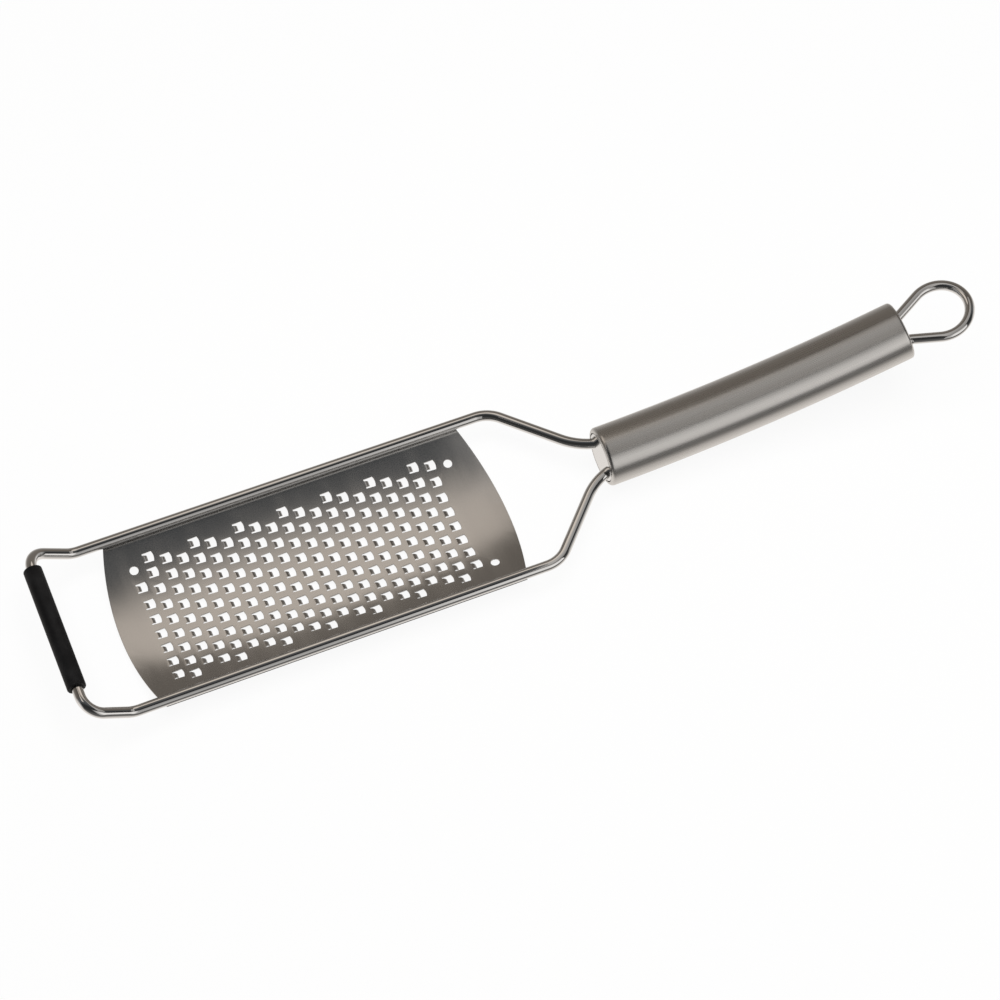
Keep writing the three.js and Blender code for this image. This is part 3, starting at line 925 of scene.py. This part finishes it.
loop_wire = bmesh.new()
loop_start = neck - rear_heading * (LOOP_NECK + LOOP_LENGTH_INSIDE)
bender = WireBender(loop_wire, loop_start, rear_heading, LOOP_WIRE_DIAMETER, WIRE_SIDES, True)
bender.follow([neck, touching], [LOOP_NECK_RADIUS])
bender.turn(LOOP_RADIUS, pi / 2 + swing, -loop_upwards)
mirror_across(loop_wire)
finish_piece(loop_wire, "loop_wire", polished_wire, "hanging_loop")

# %% [markdown]
# ## The sleeve
# A length of soft hose is pushed over the cross wire. It is two skins that are bridged at the ends, like the
# handle, with ends that are cut square and only slightly rounded.

# %% Cut the sleeve
SLEEVE_DIAMETER = 6.8 * MM
SLEEVE_LENGTH = 51 * MM
SLEEVE_SHIFT = 1.5 * MM
SLEEVE_CLEARANCE = 0.1 * MM
SLEEVE_ROUNDING = 0.45 * MM
SLEEVE_SEGMENTS = 4
SLEEVE_SIDES = 48

sleeve = bmesh.new()
sleeve_start = bow_middle + Vector((0, SLEEVE_SHIFT - SLEEVE_LENGTH / 2, 0))
skins = []
for diameter, step in ((SLEEVE_DIAMETER, 0), (WIRE_DIAMETER + 2 * SLEEVE_CLEARANCE, SKIN_STEP)):
    start = sleeve_start + Vector((0, step, 0))
    skin = WireBender(sleeve, start, Vector((0, 1, 0)), diameter, SLEEVE_SIDES, closed_end=False)
    skin.push(SLEEVE_LENGTH - 2 * step)
    skins.append(skin)
close_tube(sleeve, *skins, SLEEVE_ROUNDING, SLEEVE_SEGMENTS)
finish_piece(sleeve, "front_sleeve", soft_sleeve, "foot_sleeve")

# %% [markdown]
# ## The floor
# The grater lies on a white sheet. To the camera the sheet is nearly pure white and still keeps a soft
# shadow, because a small share of it is lit paper. The steel sees through it to the white sweep of the room
# below.

# %% Make the white sheet
FLOOR_GLOW = 0.92
PAPER_GREY = (0.8, 0.8, 0.8, 1)
WHITE = (1, 1, 1, 1)


def ray_is(tree, kind):
    """1 on rays of that kind and 0 on all others."""
    return Socket.of(tree, "ShaderNodeLightPath", {}, {}, f"Is {kind} Ray")


floor_finish, tree = new_finish("white_sheet")
paper = Socket.of(tree, "ShaderNodeBsdfDiffuse", {}, {"Color": PAPER_GREY})
glow = Socket.of(tree, "ShaderNodeEmission", {}, {"Color": WHITE, "Strength": 1.0})
clear = Socket.of(tree, "ShaderNodeBsdfTransparent", {}, {})
seen = FLOOR_GLOW * (ray_is(tree, "Camera") + ray_is(tree, "Transmission"))
white = Socket.of(tree, "ShaderNodeMixShader", {}, {0: seen, 1: paper, 2: glow})
surface = Socket.of(tree, "ShaderNodeMixShader", {}, {0: ray_is(tree, "Glossy"), 1: white, 2: clear})
Socket.of(tree, "ShaderNodeOutputMaterial", {}, {"Surface": surface})
print("white_sheet:", len(tree.nodes), "nodes")

# %% Lay the floor
FLOOR_SIZE = 6
FLOOR_GAP = 0.05 * MM

floor_mesh = bmesh.new()
bmesh.ops.create_grid(floor_mesh, x_segments=1, y_segments=1, size=FLOOR_SIZE / 2)
bmesh.ops.translate(floor_mesh, verts=floor_mesh.verts[:], vec=Vector((0, 0, cad_box[0].z - FLOOR_GAP)))
floor_data = bpy.data.meshes.new("floor")
floor_mesh.to_mesh(floor_data)
floor_mesh.free()
floor_data.materials.append(floor_finish)
floor = bpy.data.objects.new("floor", floor_data)
bpy.context.scene.collection.objects.link(floor)
print("floor of", FLOOR_SIZE, "m")

# %% [markdown]
# ## The room
# Bare steel has almost no colour of its own: it shows the room. All long pieces of the grater run along X, so
# what counts is how bright the room is at each angle about X, from the front horizon (-180 degrees) down under
# the floor (-90), to the back horizon (0), overhead (90) and round to the front horizon again. One ramp over
# that angle paints the dim walls and the almost black ceiling. A second one says how much of the white
# background the steel sees: nearly all of it below, and none higher up. The walls at the two ends of the
# grater are a plain mid grey. To the camera itself the room is white all round.

# %% Choose the greys of the room
ROOM_BANDS = (
    (-180, 0.11, 0.02),
    (-166, 0.13, 0.03),
    (-155, 0.15, 0.05),
    (-14, 0.15, 0.05),
    (8, 0.19, 0.11),
    (34, 0.16, 0.13),
    (60, 0.10, 0.13),
    (86, 0.10, -0.04),
    (112, 0.03, -0.02),
    (150, 0.04, 0.0),
    (180, 0.11, 0.02),
)
SWEEP_SHARES = (
    (-180, 0),
    (-155, 0),
    (-131, 0.647),
    (-106, 0.835),
    (-90, 0.882),
    (-50, 0.765),
    (-14, 0.27),
    (8, 0),
    (180, 0),
)


def ramp_stop(degree, grey, warmth):
    """A stop of a ramp that goes once round X: its place there, and a grey that leans to red."""
    return degree / 360 + 0.5, (grey * (1 + warmth), grey, grey * (1 - warmth), 1)


room_stops = [ramp_stop(degree, grey, warmth) for degree, grey, warmth in ROOM_BANDS]
sweep_stops = [ramp_stop(degree, share, 0) for degree, share in SWEEP_SHARES]
print(len(room_stops), "greys round the room,", len(sweep_stops), "shares of white")

# %% Paint the room
END_WALL = (0.43, 0.42, 0.41, 1)
END_WALL_FROM = 0.90
END_WALL_FULL = 0.98
WARM_PAPER = (1.05, 1, 0.95, 1)

world = bpy.data.worlds.new("room")
world.use_nodes = True
tree = world.node_tree
tree.nodes.clear()
direction = Socket.of(tree, "ShaderNodeTexCoord", {}, {}, "Generated")
along, backwards, upwards = (
    Socket.of(tree, "ShaderNodeSeparateXYZ", {}, {0: direction}, axis) for axis in ("X", "Y", "Z")
)
angle = Socket.of(tree, "ShaderNodeMath", {"operation": "ARCTAN2"}, {0: upwards, 1: backwards})
round_x = 0.5 + angle * (1 / (2 * pi))
walls = Socket.of(tree, "ShaderNodeValToRGB", {"stops": room_stops}, {0: round_x}, "Color")
sweep = Socket.of(tree, "ShaderNodeValToRGB", {"stops": sweep_stops}, {0: round_x}, "Color")
endwise = Socket.of(tree, "ShaderNodeMath", {"operation": "ABSOLUTE"}, {0: along})
at_ends = contrast(tree, endwise, END_WALL_FROM, END_WALL_FULL)
room_colour = blend_colours(tree, at_ends, walls, END_WALL)
room = Socket.of(tree, "ShaderNodeBackground", {}, {"Color": room_colour, "Strength": 1.0})
is_glossy = ray_is(tree, "Glossy")
white_colour = blend_colours(tree, is_glossy, WHITE, WARM_PAPER)
white = Socket.of(tree, "ShaderNodeBackground", {}, {"Color": white_colour, "Strength": 1.0})
white_share = ray_is(tree, "Camera") + ray_is(tree, "Transmission") + is_glossy * sweep
surface = Socket.of(tree, "ShaderNodeMixShader", {}, {0: white_share, 1: room, 2: white})
Socket.of(tree, "ShaderNodeOutputWorld", {}, {"Surface": surface})
bpy.context.scene.world = world
bpy.context.scene.view_settings.view_transform = "Standard"
print("room:", len(tree.nodes), "nodes")

# %% [markdown]
# ## The softboxes
# Three softboxes draw the bands on the steel. One hangs close behind the sheet and fills the middle of the
# trough. One stands in front, down to the floor, and draws the bright line along the handle and the rails. A
# dim one hangs over the handle. A fourth only lights matt things: steel does not see it.
# A lamp's watts are worked out from the brightness that its surface should have. The cloth of a softbox is
# never lit evenly. Each cloth below is a small function of the place on the lamp: the share along its width,
# and up its height.

# %% Light the cloth behind the sheet
BACK_MIDDLE = 0.335
BACK_LOWER_BOW = 2
BACK_UPPER_BOW = 3
BACK_LOWER_EDGE = (0.06, 0.11)
BACK_UPPER_EDGE = (0.40, 0.80)
BACK_SIDE_EDGE = (0, 0.09)


def back_cloth(tree, along, up):
    """Bowed above and below, sharp below, fading upwards and towards the handle, where its width starts."""
    from_middle = along - BACK_MIDDLE
    bow = from_middle * from_middle
    fade_from, fade_to = BACK_UPPER_EDGE
    lower = contrast(tree, up - BACK_LOWER_BOW * bow, *BACK_LOWER_EDGE)
    upper = 1 - contrast(tree, up, fade_from, fade_to - BACK_UPPER_BOW * bow)
    return lower * upper * contrast(tree, along, *BACK_SIDE_EDGE)


print("the back cloth is full from", BACK_LOWER_EDGE[1], "to", BACK_UPPER_EDGE[0], "of its height")

# %% Light the other cloths
FRONT_DIM_SIDE = 0.45
FRONT_SIDE_EDGE = (0.12, 0.33)
FRONT_DIM_FOOT = 0.75
FRONT_FOOT_EDGE = (0, 0.28)
FRONT_FADE = 0.4
FRONT_FADE_EDGE = (0.31, 1)
TOP_FADE = 0.3
TOP_FADE_EDGE = (0.15, 0.45)


def front_cloth(tree, along, up):
    """Brightest in front of the handle, a little dimmer at its foot, and fading upwards."""
    side = FRONT_DIM_SIDE + (1 - FRONT_DIM_SIDE) * contrast(tree, along, *FRONT_SIDE_EDGE)
    foot = FRONT_DIM_FOOT + (1 - FRONT_DIM_FOOT) * contrast(tree, up, *FRONT_FOOT_EDGE)
    return side * foot * (1 - FRONT_FADE * contrast(tree, up, *FRONT_FADE_EDGE))


def top_cloth(tree, along, up):
    """A little brighter over the front of the handle."""
    return 1 - TOP_FADE * contrast(tree, along, *TOP_FADE_EDGE)


def even_cloth(tree, along, up):
    """The same all over."""
    return 1.0


print("the front cloth fades to", 1 - FRONT_FADE, "and the top cloth to", 1 - TOP_FADE)

# %% Hang the softboxes
def softbox(name, middle, facing, size, brightness, tint, cloth):
    """A rectangular lamp whose surface has the given brightness where its cloth is full."""
    lamp = bpy.data.lights.new(name, "AREA")
    lamp.shape = "RECTANGLE"
    lamp.size, lamp.size_y = size
    lamp.energy = pi * brightness * lamp.size * lamp.size_y
    lamp.color = tint
    lamp.use_nodes = True
    tree = lamp.node_tree
    tree.nodes.clear()
    on_lamp = Socket.of(tree, "ShaderNodeNewGeometry", {}, {}, "Parametric")
    along = Socket.of(tree, "ShaderNodeSeparateXYZ", {}, {0: on_lamp}, "X")
    up = Socket.of(tree, "ShaderNodeSeparateXYZ", {}, {0: on_lamp}, "Y")
    sockets = {"Color": (1, 1, 1, 1), "Strength": cloth(tree, along, up)}
    light = Socket.of(tree, "ShaderNodeEmission", {}, sockets)
    Socket.of(tree, "ShaderNodeOutputLight", {}, {"Surface": light})
    lamp_object = bpy.data.objects.new(name, lamp)
    turn = Vector(facing).to_track_quat("-Z", "Y").to_matrix().to_4x4()
    lamp_object.matrix_world = Matrix.Translation(middle) @ turn
    lamp_object.visible_camera = False
    bpy.context.scene.collection.objects.link(lamp_object)
    print(f"{name}: {lamp.size:.2f} x {lamp.size_y:.2f} m, {lamp.energy:.2f} W")
    return lamp_object


BACK_FACING = (0, -0.546, -0.838)
BACKWARDS = (0, 1, 0)
DOWNWARDS = (0, 0.001, -1)
softbox(
    "back_softbox",
    middle=(-0.105, 0.102, 0.265),
    facing=BACK_FACING,
    size=(0.38, 0.315),
    brightness=0.64,
    tint=(1, 0.90, 0.80),
    cloth=back_cloth,
)
softbox(
    "front_softbox",
    middle=(0.4, -0.70, 0.4525),
    facing=BACKWARDS,
    size=(1.0, 0.895),
    brightness=0.96,
    tint=(1, 0.975, 0.95),
    cloth=front_cloth,
)
softbox(
    "top_softbox",
    middle=(0.182, -0.028, 0.29),
    facing=DOWNWARDS,
    size=(0.245, 0.324),
    brightness=0.42,
    tint=(1, 0.95, 0.90),
    cloth=top_cloth,
)
fill = softbox(
    "matt_fill",
    middle=(0, 0, 1.5),
    facing=DOWNWARDS,
    size=(1.4, 1.4),
    brightness=4.2,
    tint=(1, 1, 1),
    cloth=even_cloth,
)
fill.visible_glossy = False
